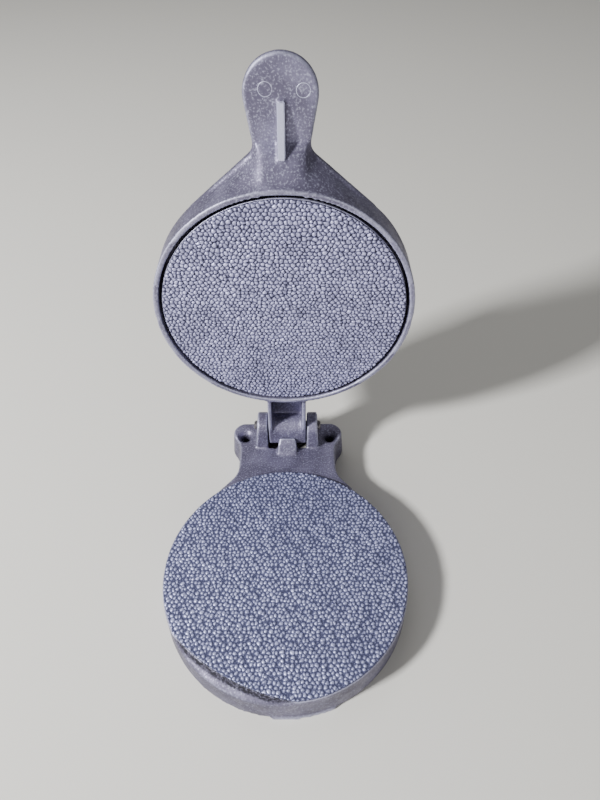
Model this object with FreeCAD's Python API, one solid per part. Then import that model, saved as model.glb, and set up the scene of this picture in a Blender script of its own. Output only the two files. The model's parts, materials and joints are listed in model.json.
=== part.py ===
import FreeCAD, Part
import math
import os

from FreeCAD import Vector

# A hinged hand press for round patties, in cast aluminium.
# Millimetres, +Z up. The origin is the centre of the round base where it meets the table.
# +Y points from the round base towards the hinge, and +X to the right.
# The lid is drawn shut, then turned back about the hinge to the open position it rests in.
# Heights in the lid are measured from its rim, towards the back of the lid.

# ---- Base casting
FACE_RADIUS = 55.0          # pebbled pressing face
BASE_HEIGHT = 18.0          # table to pressing face
BASE_DRAFT = 0.8            # the outer wall is this much wider at the table
BASE_SKIN = 3.5             # metal under the pressing face
BASE_WALL = 3.5             # outer wall of the round base and of the neck
FACE_EDGE_ROUND = 0.8
POST_RADIUS = 9.0           # post under the middle of the face, which stands on the table

SCOOP_DIRECTION = -117.0    # degrees, where the thumb scoop is cut in the face's edge
SCOOP_HALF_ANGLE = 34.0     # degrees, half of the edge that it takes away
SCOOP_BITE = 4.1            # how far it reaches in from the edge
SCOOP_SECTION_RADIUS = 5.1
SCOOP_SECTION_RISE = 1.0    # the section's centre lies this far above the face

GATE_WIDTH = 26.5           # broken stub of the casting's feed, low on the front wall
GATE_CENTRE_X = 8.0
GATE_HEIGHT = 2.2
GATE_PROUD = 0.8

# ---- Neck and screw ears, at the back of the base
NECK_DROP = 2.0             # the neck's top lies this far below the pressing face
NECK_DRAFT = 1.2
NECK_SKIN = 3.5
NECK_HALF_WIDTH = 25.0
NECK_WAIST_BACK = 5.0       # the straight waist begins this far behind the face's edge
NECK_FLARE_RADIUS = 12.5
NECK_EDGE_ROUND = 0.6
EAR_RADIUS = 6.6
EAR_OUTSET = 0.05           # the ear's centre lies this far inside the screw's
EAR_SETBACK = 2.5           # and this far behind the hinge
EAR_FILLET_RADIUS = 15.0
SCREW_SPACING = 45.5
SCREW_FORWARD = 0.1         # the screws lie this far in front of the hinge
SCREW_HOLE_RADIUS = 2.45
SCREW_SINK_RADIUS = 4.5
SCREW_POST_RADIUS = 6.0

# ---- Hinge
HINGE_BACK = 24.6           # the pin lies this far behind the face's edge
HINGE_RISE = 7.4            # pin's centre above the pressing face
OPEN_ANGLE = 92.0           # degrees from shut to the stop
PIN_RADIUS = 2.4
PIN_PROUD = 1.3             # each end stands this far out of its lug
PIN_CHAMFER = 0.6
HINGE_CLEARANCE = 0.05      # radial, pin in the lid's arm
LUG_GAP = 20.4
LUG_THICKNESS = 6.6
LUG_LEAN = 1.3              # the outer side leans in this much towards the top
LUG_TOP_RADIUS = 7.0
LUG_FOOT_FRONT = 8.3        # the lug's foot reaches this far in front of the pin's centre
LUG_EDGE_ROUND = 0.5
WINDOW_FRONT = 8.1          # the hole under the arm, in front of the pin's centre
WINDOW_BACK = 6.6

STOP_FOOT_WIDTH = 10.5
STOP_TOP_WIDTH = 8.5
STOP_FOOT_FRONT = 12.7      # in front of the pin's centre
STOP_CREASE_FRONT = 9.4
STOP_CREASE_RISE = 5.3      # above the neck's top
STOP_RISE = 7.5
STOP_GAP = 0.3              # between the stop and the open lid's arm

# ---- Lid casting
SHUT_GAP = 0.4              # between the rim and the pressing face when the lid is shut
LID_OVERHANG = 0.5          # the lid is this much wider than the face
RIM_WIDTH = 2.3
ROOF_THICKNESS = 3.0
LID_BACK_ROUND = 2.0
ROOF_GAP = 0.4              # between the pushed-in plate's ribs and the roof

HANDLE_THICKNESS = 3.5
HANDLE_HEAD_RADIUS = 13.3
HANDLE_LENGTH = 41.4        # past the lid's wall
HANDLE_NECK_HALF_WIDTH = 10.75
HANDLE_NECK_OUT = 11.1      # past the lid's wall
HANDLE_FLARE_RADIUS = 5.5
HANDLE_EDGE_ROUND = 1.0
COWL_FOOT_HEIGHT = 0.8      # the cowl under the handle starts just behind the rim
COWL_FOOT_INSET = 0.2
COWL_HEAD_INSET = 1.2       # the handle's rounded edge stands this far out of the cowl
RIB_THICKNESS = 2.6
RIB_START_OUT = 26.1        # past the lid's wall
RIB_HEIGHT_AT_START = 1.2   # the rib's square upper end stands this far out of the handle
RIB_HEIGHT_AT_COWL = 5.3
RIB_COWL_OUT = 6.8          # past the lid's wall

ARM_SIDE_GAP = 0.55         # between the arm and each lug
ARM_FLANGE = 1.9
ARM_WEB = 2.5
ARM_DEPTH = 12.4
ARM_SETBACK = 0.5           # the arm's front lies this far behind the rim
ARM_END = 8.0               # past the pin's centre
ARM_END_ROUND = 1.5
ARM_BACK_ROUND = 4.5
ARM_BOSS_GAP = 0.1          # the boss stops this far short of the arm's front

HOUSING_RADIUS = 14.0       # raised spring housing in the middle of the roof
HOUSING_DRAFT = 1.0
HOUSING_BORE_RADIUS = 11.0
HOUSING_GAP = 0.5           # between the pushed-in seat washer and the housing's ceiling
HOUSING_TOP = 3.0
HOUSING_ROUND = 1.5
GUIDE_RADIUS = 6.5
GUIDE_HEIGHT = 2.0

# ---- Ejector: pebbled plate, stem, spring and knob
STROKE = 8.0                # how far the plate can be pushed into the lid
PLATE_GAP = 1.4             # dark ring between the plate and the rim
PLATE_THICKNESS = 3.0
PLATE_RIB_HEIGHT = 1.6
PLATE_RIB_RADIUS = 44.0
PLATE_RIB_WIDTH = 2.5
PLATE_BOSS_RADIUS = 7.0
PLATE_BOSS_HEIGHT = 4.5
PLATE_EDGE_ROUND = 0.5
STEM_RADIUS = 3.0
STEM_CLEARANCE = 0.05       # radial, stem in the guide
STEM_SOCKET_DEPTH = 5.0
STEM_END_GAP = 0.1
STEM_CHAMFER = 0.5
NUT_ACROSS_FLATS = 10.0
NUT_THICKNESS = 4.0
KNOB_NUT_THICKNESS = 3.2
SPRING_WIRE_RADIUS = 0.6
SPRING_MEAN_RADIUS = 8.6
SPRING_TURNS = 5.5
SPRING_END_GAP = 0.05
SEAT_WASHER_THICKNESS = 1.0
SEAT_WASHER_GAP = 0.6
STOP_WASHER_RADIUS = 7.5
STOP_WASHER_THICKNESS = 1.2
STOP_WASHER_GAP = 0.1
WASHER_HOLE_GAP = 0.3
KNOB_RADIUS = 11.0
KNOB_HEIGHT = 11.0
KNOB_SOCKET_DEPTH = 7.5
KNOB_ROUND = 2.5
KNOB_NECK_RADIUS = 7.0
KNOB_NECK_HEIGHT = 3.0

# ---- Worked out from the sizes above
X_AXIS = Vector(1, 0, 0)
NECK_TOP = BASE_HEIGHT - NECK_DROP
NECK_WAIST_Y = FACE_RADIUS + NECK_WAIST_BACK
HINGE_Y = FACE_RADIUS + HINGE_BACK
HINGE_Z = BASE_HEIGHT + HINGE_RISE
EAR_CENTRE_X = SCREW_SPACING / 2 - EAR_OUTSET
EAR_CENTRE_Y = HINGE_Y + EAR_SETBACK
SCREW_Y = HINGE_Y - SCREW_FORWARD
RIM_Z = BASE_HEIGHT + SHUT_GAP
LID_RADIUS = FACE_RADIUS + LID_OVERHANG
HANDLE_TIP_Y = -LID_RADIUS - HANDLE_LENGTH
HANDLE_NECK_Y = -LID_RADIUS - HANDLE_NECK_OUT
RIB_START_Y = -LID_RADIUS - RIB_START_OUT
RIB_COWL_Y = -LID_RADIUS - RIB_COWL_OUT
ARM_WIDTH = LUG_GAP - 2 * ARM_SIDE_GAP
ARM_BOSS_RADIUS = HINGE_RISE - SHUT_GAP - ARM_SETBACK - ARM_BOSS_GAP
BOSS_END = PLATE_THICKNESS + PLATE_BOSS_HEIGHT
ROOF_INSIDE = PLATE_THICKNESS + PLATE_RIB_HEIGHT + STROKE + ROOF_GAP
LID_DEPTH = ROOF_INSIDE + ROOF_THICKNESS
CUP_RADIUS = LID_RADIUS - RIM_WIDTH
PLATE_RADIUS = CUP_RADIUS - PLATE_GAP
CEILING = BOSS_END + NUT_THICKNESS + SEAT_WASHER_THICKNESS + STROKE + HOUSING_GAP
HOUSING_HEIGHT = CEILING + HOUSING_TOP
GUIDE_END = HOUSING_HEIGHT + GUIDE_HEIGHT
STEM_FOOT = BOSS_END - STEM_SOCKET_DEPTH
STOP_WASHER_FOOT = GUIDE_END + STOP_WASHER_GAP
KNOB_NUT_FOOT = STOP_WASHER_FOOT + STOP_WASHER_THICKNESS
KNOB_FOOT = KNOB_NUT_FOOT + KNOB_NUT_THICKNESS
STEM_TOP = KNOB_FOOT + KNOB_SOCKET_DEPTH - STEM_END_GAP


def save(name, shape):
    solid = shape.removeSplitter()
    solid.exportStep("parts/" + name + ".step")


def disc(radius, low, high, x=0.0, y=0.0):
    return Part.makeCylinder(radius, high - low, Vector(x, y, low))


def cone(low_radius, high_radius, low, high, x=0.0, y=0.0):
    return Part.makeCone(low_radius, high_radius, high - low, Vector(x, y, low))


def bar_along_x(radius, half_length, y, z):
    return Part.makeCylinder(radius, 2 * half_length, Vector(-half_length, y, z), X_AXIS)


def block(x_low, x_high, y_low, y_high, z_low, z_high):
    return Part.makeBox(x_high - x_low, y_high - y_low, z_high - z_low, Vector(x_low, y_low, z_low))


def polygon(points):
    return Part.Face(Part.makePolygon(points + points[:1]))


def prism_along_x(points, x_low, x_high):
    """A prism between two planes of constant X, from a closed outline of (y, z) points."""
    face = polygon([Vector(x_low, y, z) for y, z in points])
    return face.extrude(Vector(x_high - x_low, 0, 0))


def prism_along_y(points, y_low, y_high):
    """A prism between two planes of constant Y, from a closed outline of (x, z) points."""
    face = polygon([Vector(x, y_low, z) for x, z in points])
    return face.extrude(Vector(0, y_high - y_low, 0))


def mirrored(shape):
    return shape.mirror(Vector(0, 0, 0), X_AXIS)


def round_edges(shape, radius, wanted):
    """Rounds the edges whose bounding box passes the test."""
    return shape.makeFillet(radius, [edge for edge in shape.Edges if wanted(edge.BoundBox)])


def flat_at(z):
    return lambda box: abs(box.ZMin - z) < 1e-4 and abs(box.ZMax - z) < 1e-4


def tangent_point(y, z, centre_y, centre_z, radius, side):
    """Where a line from (y, z) touches a circle. side is -1 for the front and +1 for the back."""
    distance = math.hypot(y - centre_y, z - centre_z)
    towards = math.atan2(z - centre_z, y - centre_y)
    spread = math.acos(radius / distance)
    angle = towards + side * spread
    return centre_y + radius * math.cos(angle), centre_z + radius * math.sin(angle)


def crossing_tangent(first_centre, first_radius, second_centre, second_radius, side):
    """The line that touches two circles and crosses between them.

    Returns where it touches the first and the second. side is +1 where the first touch is turned
    anticlockwise from the line between the centres, and -1 where it is turned clockwise.
    """
    between = second_centre - first_centre
    spread = math.acos((first_radius + second_radius) / between.Length)
    angle = math.atan2(between.y, between.x) + side * spread
    direction = Vector(math.cos(angle), math.sin(angle), 0)
    return first_centre + direction * first_radius, second_centre - direction * second_radius


def arc(start, middle, end):
    return Part.Arc(start, middle, end).toShape()


def line(start, end):
    return Part.LineSegment(start, end).toShape()


def arc_about(centre, radius, start, end):
    """The shorter arc about a centre from start to end."""
    towards = (start - centre).normalize() + (end - centre).normalize()
    return arc(start, centre + towards.normalize() * radius, end)


def mirror_point(point):
    return Vector(-point.x, point.y, point.z)


def neck_outline(grow, z):
    """Closed outline of the neck and its two ears, grown outwards by the same amount all round."""
    flare_radius = NECK_FLARE_RADIUS - grow
    fillet_radius = EAR_FILLET_RADIUS - grow
    ear_radius = EAR_RADIUS + grow
    flare_centre = Vector(NECK_HALF_WIDTH + NECK_FLARE_RADIUS, NECK_WAIST_Y, 0)
    fillet_x = NECK_HALF_WIDTH + EAR_FILLET_RADIUS
    reach = math.sqrt((EAR_RADIUS + EAR_FILLET_RADIUS) ** 2 - (fillet_x - EAR_CENTRE_X) ** 2)
    fillet_centre = Vector(fillet_x, EAR_CENTRE_Y - reach, 0)
    ear_centre = Vector(EAR_CENTRE_X, EAR_CENTRE_Y, 0)

    on_disc, flare_end = crossing_tangent(Vector(), FACE_RADIUS + grow, flare_centre, flare_radius, -1)
    waist_start = flare_centre - Vector(flare_radius, 0, 0)
    waist_end = fillet_centre - Vector(fillet_radius, 0, 0)
    ear_start = ear_centre + (fillet_centre - ear_centre).normalize() * ear_radius
    ear_side = ear_centre + Vector(ear_radius * math.cos(0.3), ear_radius * math.sin(0.3), 0)
    ear_end = ear_centre + Vector(0, ear_radius, 0)

    right = [
        line(on_disc, flare_end),
        arc_about(flare_centre, flare_radius, flare_end, waist_start),
        line(waist_start, waist_end),
        arc_about(fillet_centre, fillet_radius, waist_end, ear_start),
        arc(ear_start, ear_side, ear_end),
    ]
    left = [
        arc(mirror_point(ear_end), mirror_point(ear_side), mirror_point(ear_start)),
        arc_about(mirror_point(fillet_centre), fillet_radius, mirror_point(ear_start), mirror_point(waist_end)),
        line(mirror_point(waist_end), mirror_point(waist_start)),
        arc_about(mirror_point(flare_centre), flare_radius, mirror_point(waist_start), mirror_point(flare_end)),
        line(mirror_point(flare_end), mirror_point(on_disc)),
    ]
    across_back = [line(ear_end, mirror_point(ear_end))]
    across_front = [line(mirror_point(on_disc), on_disc)]
    outline = Part.Wire(right + across_back + left + across_front)
    outline.translate(Vector(0, 0, z))
    return outline


def make_neck():
    body = Part.makeLoft([neck_outline(NECK_DRAFT, 0), neck_outline(0, NECK_TOP)], True, True)
    body = round_edges(body, NECK_EDGE_ROUND, flat_at(NECK_TOP))
    hollow_top = NECK_TOP - NECK_SKIN
    hollow = Part.makeLoft(
        [neck_outline(NECK_DRAFT - BASE_WALL, 0), neck_outline(-BASE_WALL, hollow_top)], True, True
    )
    hollow = hollow.cut(disc(FACE_RADIUS, 0, BASE_HEIGHT))
    posts = [disc(SCREW_POST_RADIUS, 0, NECK_TOP, side * SCREW_SPACING / 2, SCREW_Y) for side in (-1, 1)]
    hollow = hollow.cut(posts[0]).cut(posts[1])
    return body.cut(hollow)


def screw_hole(x):
    sink_depth = SCREW_SINK_RADIUS - SCREW_HOLE_RADIUS
    hole = disc(SCREW_HOLE_RADIUS, -1, NECK_TOP + 1, x, SCREW_Y)
    sink = cone(SCREW_HOLE_RADIUS, SCREW_SINK_RADIUS, NECK_TOP - sink_depth, NECK_TOP, x, SCREW_Y)
    mouth = disc(SCREW_SINK_RADIUS, NECK_TOP, NECK_TOP + 1, x, SCREW_Y)
    return hole.fuse([sink, mouth])


def make_lug():
    """The right-hand hinge lug: a round-topped plate whose outer side leans inwards."""
    foot_z = NECK_TOP - NECK_SKIN / 2
    inner = LUG_GAP / 2
    outer = inner + LUG_THICKNESS
    top_z = HINGE_Z + LUG_TOP_RADIUS
    front = (HINGE_Y - LUG_FOOT_FRONT, foot_z)
    back = (HINGE_Y + LUG_FOOT_FRONT, foot_z)
    front_touch = tangent_point(front[0], front[1], HINGE_Y, HINGE_Z, LUG_TOP_RADIUS, -1)
    back_touch = tangent_point(back[0], back[1], HINGE_Y, HINGE_Z, LUG_TOP_RADIUS, 1)

    def at(point):
        return Vector(inner, point[0], point[1])

    side = Part.Wire([
        line(at(front), at(front_touch)),
        arc(at(front_touch), Vector(inner, HINGE_Y, top_z), at(back_touch)),
        line(at(back_touch), at(back)),
        line(at(back), at(front)),
    ])
    plate = Part.Face(side).extrude(Vector(LUG_THICKNESS, 0, 0))
    lean = prism_along_y(
        [(inner, foot_z), (outer, foot_z), (outer - LUG_LEAN, top_z), (inner, top_z)], front[0], back[0]
    )
    lug = plate.common(lean)
    return round_edges(lug, LUG_EDGE_ROUND, lambda box: box.ZMax > NECK_TOP and box.XLength < 0.8 * LUG_THICKNESS)


def make_stop():
    """The block that the open lid's arm leans against."""
    foot_z = NECK_TOP - NECK_SKIN
    top_z = NECK_TOP + STOP_RISE
    lean = math.radians(OPEN_ANGLE - 90)
    arm_front = HINGE_Z - RIM_Z - ARM_SETBACK

    def back_y(z):
        return HINGE_Y - (arm_front + STOP_GAP) / math.cos(lean) + (z - HINGE_Z) * math.tan(lean)

    side = prism_along_x(
        [
            (HINGE_Y - STOP_FOOT_FRONT, foot_z),
            (HINGE_Y - STOP_FOOT_FRONT, NECK_TOP),
            (HINGE_Y - STOP_CREASE_FRONT, NECK_TOP + STOP_CREASE_RISE),
            (back_y(top_z), top_z),
            (back_y(foot_z), foot_z),
        ],
        -STOP_FOOT_WIDTH / 2, STOP_FOOT_WIDTH / 2,
    )
    half_foot = STOP_FOOT_WIDTH / 2
    half_top = STOP_TOP_WIDTH / 2
    front = prism_along_y(
        [
            (-half_foot, foot_z), (half_foot, foot_z), (half_foot, NECK_TOP),
            (half_top, top_z), (-half_top, top_z), (-half_foot, NECK_TOP),
        ],
        HINGE_Y - 2 * STOP_FOOT_FRONT, HINGE_Y,
    )
    return side.common(front)


def scoop_cutter():
    """A ring of round section whose inner edge crosses the face's edge twice and bites in between."""
    inner_reach = FACE_RADIUS - SCOOP_BITE
    half_angle = math.radians(SCOOP_HALF_ANGLE)
    offset = (FACE_RADIUS ** 2 - inner_reach ** 2) / (2 * (FACE_RADIUS * math.cos(half_angle) - inner_reach))
    half_chord = math.sqrt(SCOOP_SECTION_RADIUS ** 2 - SCOOP_SECTION_RISE ** 2)
    direction = math.radians(SCOOP_DIRECTION)
    centre = Vector(
        offset * math.cos(direction), offset * math.sin(direction), BASE_HEIGHT + SCOOP_SECTION_RISE
    )
    return Part.makeTorus(inner_reach - offset + half_chord, SCOOP_SECTION_RADIUS, centre)


def make_gate_stub():
    wide = cone(
        FACE_RADIUS + BASE_DRAFT + GATE_PROUD,
        FACE_RADIUS + BASE_DRAFT * (1 - GATE_HEIGHT / BASE_HEIGHT) + GATE_PROUD / 2, 0, GATE_HEIGHT,
    )
    window = block(
        GATE_CENTRE_X - GATE_WIDTH / 2, GATE_CENTRE_X + GATE_WIDTH / 2,
        -2 * FACE_RADIUS, -(FACE_RADIUS - BASE_WALL), 0, GATE_HEIGHT,
    )
    return wide.common(window).cut(disc(FACE_RADIUS - BASE_WALL / 2, 0, GATE_HEIGHT))


def make_base_casting():
    round_base = cone(FACE_RADIUS + BASE_DRAFT, FACE_RADIUS, 0, BASE_HEIGHT)
    round_base = round_edges(round_base, FACE_EDGE_ROUND, flat_at(BASE_HEIGHT))
    hollow_top = BASE_HEIGHT - BASE_SKIN
    hollow = disc(FACE_RADIUS - BASE_WALL, 0, hollow_top).cut(disc(POST_RADIUS, 0, hollow_top))
    lug = make_lug()
    casting = round_base.fuse([make_neck(), lug, mirrored(lug), make_stop(), make_gate_stub()])
    window = block(
        -LUG_GAP / 2, LUG_GAP / 2, HINGE_Y - WINDOW_FRONT, HINGE_Y + WINDOW_BACK,
        NECK_TOP - NECK_SKIN - 1, NECK_TOP + 1,
    )
    window = window.cut(make_stop())
    casting = casting.cut([hollow, window, scoop_cutter()])
    for side in (-1, 1):
        casting = casting.cut(screw_hole(side * SCREW_SPACING / 2))
    return casting.cut(bar_along_x(PIN_RADIUS, LUG_GAP, HINGE_Y, HINGE_Z))


def make_hinge_pin():
    half_length = LUG_GAP / 2 + LUG_THICKNESS - LUG_LEAN / 2 + PIN_PROUD
    pin = bar_along_x(PIN_RADIUS, half_length, HINGE_Y, HINGE_Z)
    ends = [edge for edge in pin.Edges if abs(abs(edge.BoundBox.Center.x) - half_length) < 1e-4]
    return pin.makeChamfer(PIN_CHAMFER, ends)


def handle_points(inset=0.0):
    """The right-hand points of the handle's outline, drawn in by inset, with the handle pointing to -Y.

    Returns where the outline leaves the ring, then the start, centre and end of the flare's arc, then
    where the straight side meets the rounded head.
    """
    flare_centre = Vector(HANDLE_NECK_HALF_WIDTH + HANDLE_FLARE_RADIUS, HANDLE_NECK_Y, 0)
    flare_radius = HANDLE_FLARE_RADIUS + inset
    head_centre = Vector(0, HANDLE_TIP_Y + HANDLE_HEAD_RADIUS, 0)
    on_ring, flare_start = crossing_tangent(Vector(), LID_RADIUS - inset, flare_centre, flare_radius, 1)
    on_head, flare_end = crossing_tangent(
        head_centre, HANDLE_HEAD_RADIUS - inset, flare_centre, flare_radius, -1
    )
    return on_ring, flare_start, flare_centre, flare_end, on_head


def cowl_arc(start, end):
    """An arc on the ring's foot circle between the bearings of two points."""
    radius = LID_RADIUS - COWL_FOOT_INSET
    first = Vector(start.x, start.y, 0).normalize() * radius
    last = Vector(end.x, end.y, 0).normalize() * radius
    return arc_about(Vector(0, 0, 0), radius, first, last), first, last


def flare_edges(on_ring, flare_start, flare_centre, flare_end, flare_radius):
    """The right-hand edges from the ring to the handle's neck, and the left-hand ones back again."""
    right = [
        line(on_ring, flare_start),
        arc_about(flare_centre, flare_radius, flare_start, flare_end),
    ]
    left = [
        arc_about(mirror_point(flare_centre), flare_radius, mirror_point(flare_end), mirror_point(flare_start)),
        line(mirror_point(flare_start), mirror_point(on_ring)),
    ]
    return right, left


def make_cowl():
    """The skirt that widens from the ring's rim to the root of the handle."""
    on_ring, flare_start, flare_centre, flare_end, _ = handle_points(COWL_HEAD_INSET)
    stations = [on_ring, flare_start, flare_end]
    stations += [mirror_point(point) for point in reversed(stations)]
    foot_arcs = [cowl_arc(start, end) for start, end in zip(stations, stations[1:])]
    foot_edges = [edge for edge, _, _ in foot_arcs]
    foot_edges.append(line(foot_arcs[-1][2], foot_arcs[0][1]))
    flare_radius = HANDLE_FLARE_RADIUS + COWL_HEAD_INSET
    right, left = flare_edges(on_ring, flare_start, flare_centre, flare_end, flare_radius)
    across_neck = [line(flare_end, mirror_point(flare_end))]
    across_ring = [line(mirror_point(on_ring), on_ring)]
    foot = Part.Wire(foot_edges)
    foot.translate(Vector(0, 0, COWL_FOOT_HEIGHT))
    head = Part.Wire(right + across_neck + left + across_ring)
    head.translate(Vector(0, 0, LID_DEPTH - HANDLE_THICKNESS))
    return Part.makeLoft([foot, head], True, True)


def make_handle():
    on_ring, flare_start, flare_centre, flare_end, on_head = handle_points()
    right, left = flare_edges(on_ring, flare_start, flare_centre, flare_end, HANDLE_FLARE_RADIUS)
    head = [
        line(flare_end, on_head),
        arc(on_head, Vector(0, HANDLE_TIP_Y, 0), mirror_point(on_head)),
        line(mirror_point(on_head), mirror_point(flare_end)),
    ]
    across_ring = [line(mirror_point(on_ring), on_ring)]
    outline = Part.Wire(right + head + left + across_ring)
    outline.translate(Vector(0, 0, LID_DEPTH - HANDLE_THICKNESS))
    plate = Part.Face(outline).extrude(Vector(0, 0, HANDLE_THICKNESS))
    ring_width = 2 * on_ring.x
    return round_edges(
        plate, HANDLE_EDGE_ROUND, lambda box: box.ZLength < 1e-4 and box.XLength < ring_width - 1
    )


def make_handle_rib():
    front = LID_DEPTH - HANDLE_THICKNESS
    inside = front + HANDLE_THICKNESS / 2
    return prism_along_x(
        [
            (RIB_START_Y, front - RIB_HEIGHT_AT_START),
            (RIB_COWL_Y, front - RIB_HEIGHT_AT_COWL),
            (RIB_COWL_Y + RIB_THICKNESS, front - RIB_HEIGHT_AT_COWL),
            (RIB_COWL_Y + RIB_THICKNESS, inside),
            (RIB_START_Y, inside),
        ],
        -RIB_THICKNESS / 2, RIB_THICKNESS / 2,
    )


def make_arm():
    """The channel-shaped arm from the ring to the hinge pin, open towards the rim's side."""
    front = ARM_SETBACK
    back = ARM_SETBACK + ARM_DEPTH
    axis = HINGE_Z - RIM_Z
    end_y = HINGE_Y + ARM_END
    half = ARM_WIDTH / 2
    arm = block(-half, half, CUP_RADIUS, end_y, front, back)
    arm = round_edges(arm, ARM_END_ROUND, lambda box: box.YMin > end_y - 1e-4 and flat_at(front)(box))
    arm = round_edges(arm, ARM_BACK_ROUND, lambda box: box.YMin > end_y - 1e-4 and flat_at(back)(box))
    inner = half - ARM_FLANGE
    pocket = block(-inner, inner, LID_RADIUS - RIM_WIDTH / 2, HINGE_Y, front - 1, back - ARM_WEB)
    pocket = pocket.cut(bar_along_x(ARM_BOSS_RADIUS, half, HINGE_Y, axis))
    return arm.cut(pocket)


def make_lid_casting():
    ring = disc(LID_RADIUS, 0, LID_DEPTH)
    ring = round_edges(ring, LID_BACK_ROUND, flat_at(LID_DEPTH))
    housing = cone(HOUSING_RADIUS + HOUSING_DRAFT, HOUSING_RADIUS, ROOF_INSIDE, HOUSING_HEIGHT)
    housing = round_edges(housing, HOUSING_ROUND, flat_at(HOUSING_HEIGHT))
    guide = disc(GUIDE_RADIUS, CEILING, GUIDE_END)
    casting = ring.fuse([housing, guide, make_cowl(), make_handle(), make_handle_rib(), make_arm()])
    casting = casting.cut(disc(CUP_RADIUS, -1, ROOF_INSIDE))
    casting = casting.cut(disc(HOUSING_BORE_RADIUS, 0, CEILING))
    casting = casting.cut(disc(STEM_RADIUS + STEM_CLEARANCE, 0, GUIDE_END + 1))
    axis = HINGE_Z - RIM_Z
    return casting.cut(bar_along_x(PIN_RADIUS + HINGE_CLEARANCE, ARM_WIDTH, HINGE_Y, axis))


def make_ejector_plate():
    plate = disc(PLATE_RADIUS, 0, PLATE_THICKNESS)
    plate = round_edges(plate, PLATE_EDGE_ROUND, flat_at(0))
    rib_top = PLATE_THICKNESS + PLATE_RIB_HEIGHT
    rib = disc(PLATE_RIB_RADIUS, 1, rib_top).cut(disc(PLATE_RIB_RADIUS - PLATE_RIB_WIDTH, 1, rib_top))
    boss = disc(PLATE_BOSS_RADIUS, 1, BOSS_END)
    return plate.fuse([rib, boss]).cut(disc(STEM_RADIUS, STEM_FOOT, BOSS_END + 1))


def make_stem():
    stem = disc(STEM_RADIUS, STEM_FOOT + STEM_END_GAP, STEM_TOP)
    return stem.makeChamfer(STEM_CHAMFER, [edge for edge in stem.Edges if edge.BoundBox.ZLength < 1e-4])


def make_hex_nut(low, high):
    """A six-sided nut with its outer corners turned off at both ends."""
    corner = NUT_ACROSS_FLATS / math.sqrt(3)
    corners = [
        Vector(corner * math.cos(math.radians(60 * i)), corner * math.sin(math.radians(60 * i)), low)
        for i in range(6)
    ]
    nut = polygon(corners).extrude(Vector(0, 0, high - low))
    flat = NUT_ACROSS_FLATS / 2
    turned = cone(flat, flat + (high - low), low, high).common(cone(flat + (high - low), flat, low, high))
    return nut.common(turned).cut(disc(STEM_RADIUS, low - 1, high + 1))


def make_washer(radius, low, high):
    return disc(radius, low, high).cut(disc(STEM_RADIUS + WASHER_HOLE_GAP, low - 1, high + 1))


def make_spring():
    """A round-wire coil between the plate's back and the seat washer."""
    low = PLATE_THICKNESS + SPRING_WIRE_RADIUS + SPRING_END_GAP
    high = CEILING - SEAT_WASHER_THICKNESS - SPRING_WIRE_RADIUS - SPRING_END_GAP
    height = high - low
    path = Part.makeHelix(height / SPRING_TURNS, height, SPRING_MEAN_RADIUS)
    start = Vector(SPRING_MEAN_RADIUS, 0, 0)
    section = Part.Wire(Part.makeCircle(SPRING_WIRE_RADIUS, start, Vector(0, 1, 0)))
    coil = Part.Wire(path.Edges).makePipeShell([section], True, True)
    coil.translate(Vector(0, 0, low))
    return coil


def make_knob():
    """A turned knob: a narrow neck under a wide head with rounded edges."""
    top = KNOB_FOOT + KNOB_HEIGHT
    neck = disc(KNOB_NECK_RADIUS, KNOB_FOOT, KNOB_FOOT + KNOB_NECK_HEIGHT + 1)
    head = disc(KNOB_RADIUS, KNOB_FOOT + KNOB_NECK_HEIGHT, top)
    head = round_edges(head, KNOB_ROUND, lambda box: box.ZLength < 1e-4)
    return neck.fuse(head).cut(disc(STEM_RADIUS, KNOB_FOOT - 1, KNOB_FOOT + KNOB_SOCKET_DEPTH))


def open_lid(shape):
    """Takes a shape drawn from the rim's height to its place on the open lid."""
    placed = shape.copy()
    placed.translate(Vector(0, 0, RIM_Z))
    placed.rotate(Vector(0, HINGE_Y, HINGE_Z), X_AXIS, -OPEN_ANGLE)
    return placed


os.makedirs("parts", exist_ok=True)

save("base_casting", make_base_casting())
save("hinge_pin", make_hinge_pin())

LID_PIECES = {
    "lid_casting": make_lid_casting(),
    "spring_seat_washer": make_washer(
        HOUSING_BORE_RADIUS - SEAT_WASHER_GAP, CEILING - SEAT_WASHER_THICKNESS, CEILING
    ),
    "ejector_spring": make_spring(),
    "ejector_plate": make_ejector_plate(),
    "ejector_stem": make_stem(),
    "stem_jam_nut": make_hex_nut(BOSS_END, BOSS_END + NUT_THICKNESS),
    "stop_washer": make_washer(STOP_WASHER_RADIUS, STOP_WASHER_FOOT, KNOB_NUT_FOOT),
    "knob_jam_nut": make_hex_nut(KNOB_NUT_FOOT, KNOB_FOOT),
    "release_knob": make_knob(),
}
for name, shape in LID_PIECES.items():
    save(name, open_lid(shape))
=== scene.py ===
"""The looks of a hinged patty press in old sand-cast aluminium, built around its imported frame.

Each piece or group of like pieces is an operator: the base casting and its pebbles, the lid casting, the
handle's details, the ejector plate, the plain fittings, the spring, and the studio stage.
"""
import json
import math

import bmesh
import bpy
import numpy as np
from bpy.props import FloatProperty, FloatVectorProperty, IntProperty, PointerProperty
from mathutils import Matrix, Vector, kdtree, noise
from mathutils.bvhtree import BVHTree


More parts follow.
